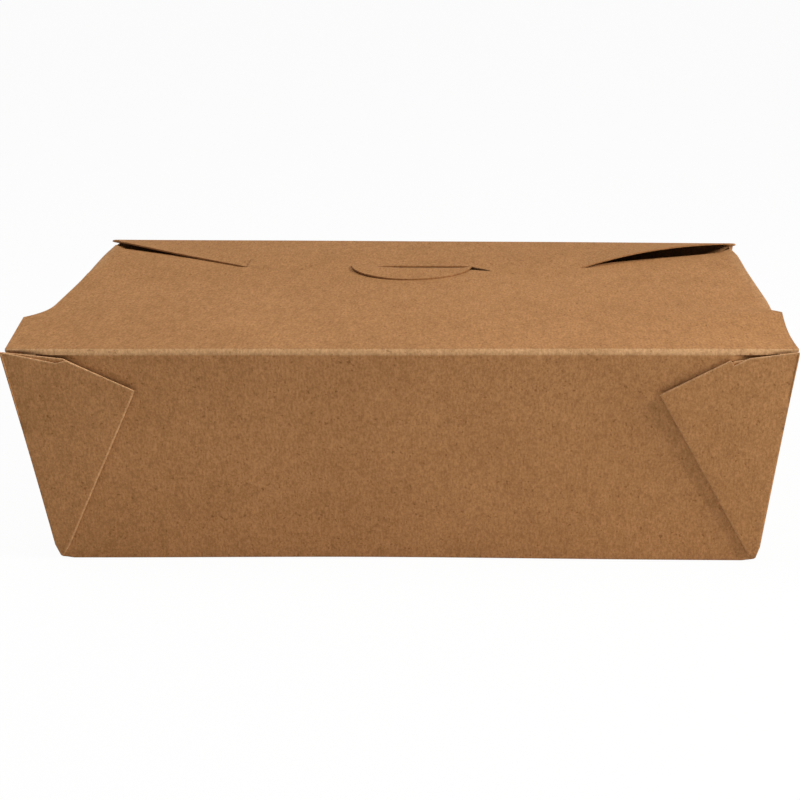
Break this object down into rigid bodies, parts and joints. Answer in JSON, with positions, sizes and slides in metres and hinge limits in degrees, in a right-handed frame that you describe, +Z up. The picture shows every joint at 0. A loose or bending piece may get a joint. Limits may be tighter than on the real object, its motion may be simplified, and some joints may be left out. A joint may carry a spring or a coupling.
{
  "type": "takeaway box",
  "caption": "Low kraft takeaway food box folded from one sheet of board, with sloping sides, webbed corners and a lid flap that locks on a round tongue.",
  "frame": {"origin": "middle of the underside of the base, which is also the mount base", "axes": "+X along the long side to the right, +Y from the front to the rear fold, +Z up"},
  "size_m": [0.2196, 0.1614, 0.0665],
  "materials": {
    "kraft_board": "plain brown kraft board, matt, fine mottled fibre"
  },
  "bodies": {
    "carton": {"carton": "kraft_board"},
    "front_flap": {"front_flap": "kraft_board"}
  },
  "joints": [
    {"name": "front_flap_fold", "type": "hinge", "parent": "carton", "child": "front_flap", "pos_m": [0, -0.07771, 0.064], "axis": [1, 0, 0], "range_deg": [0, 180]}
  ]
}
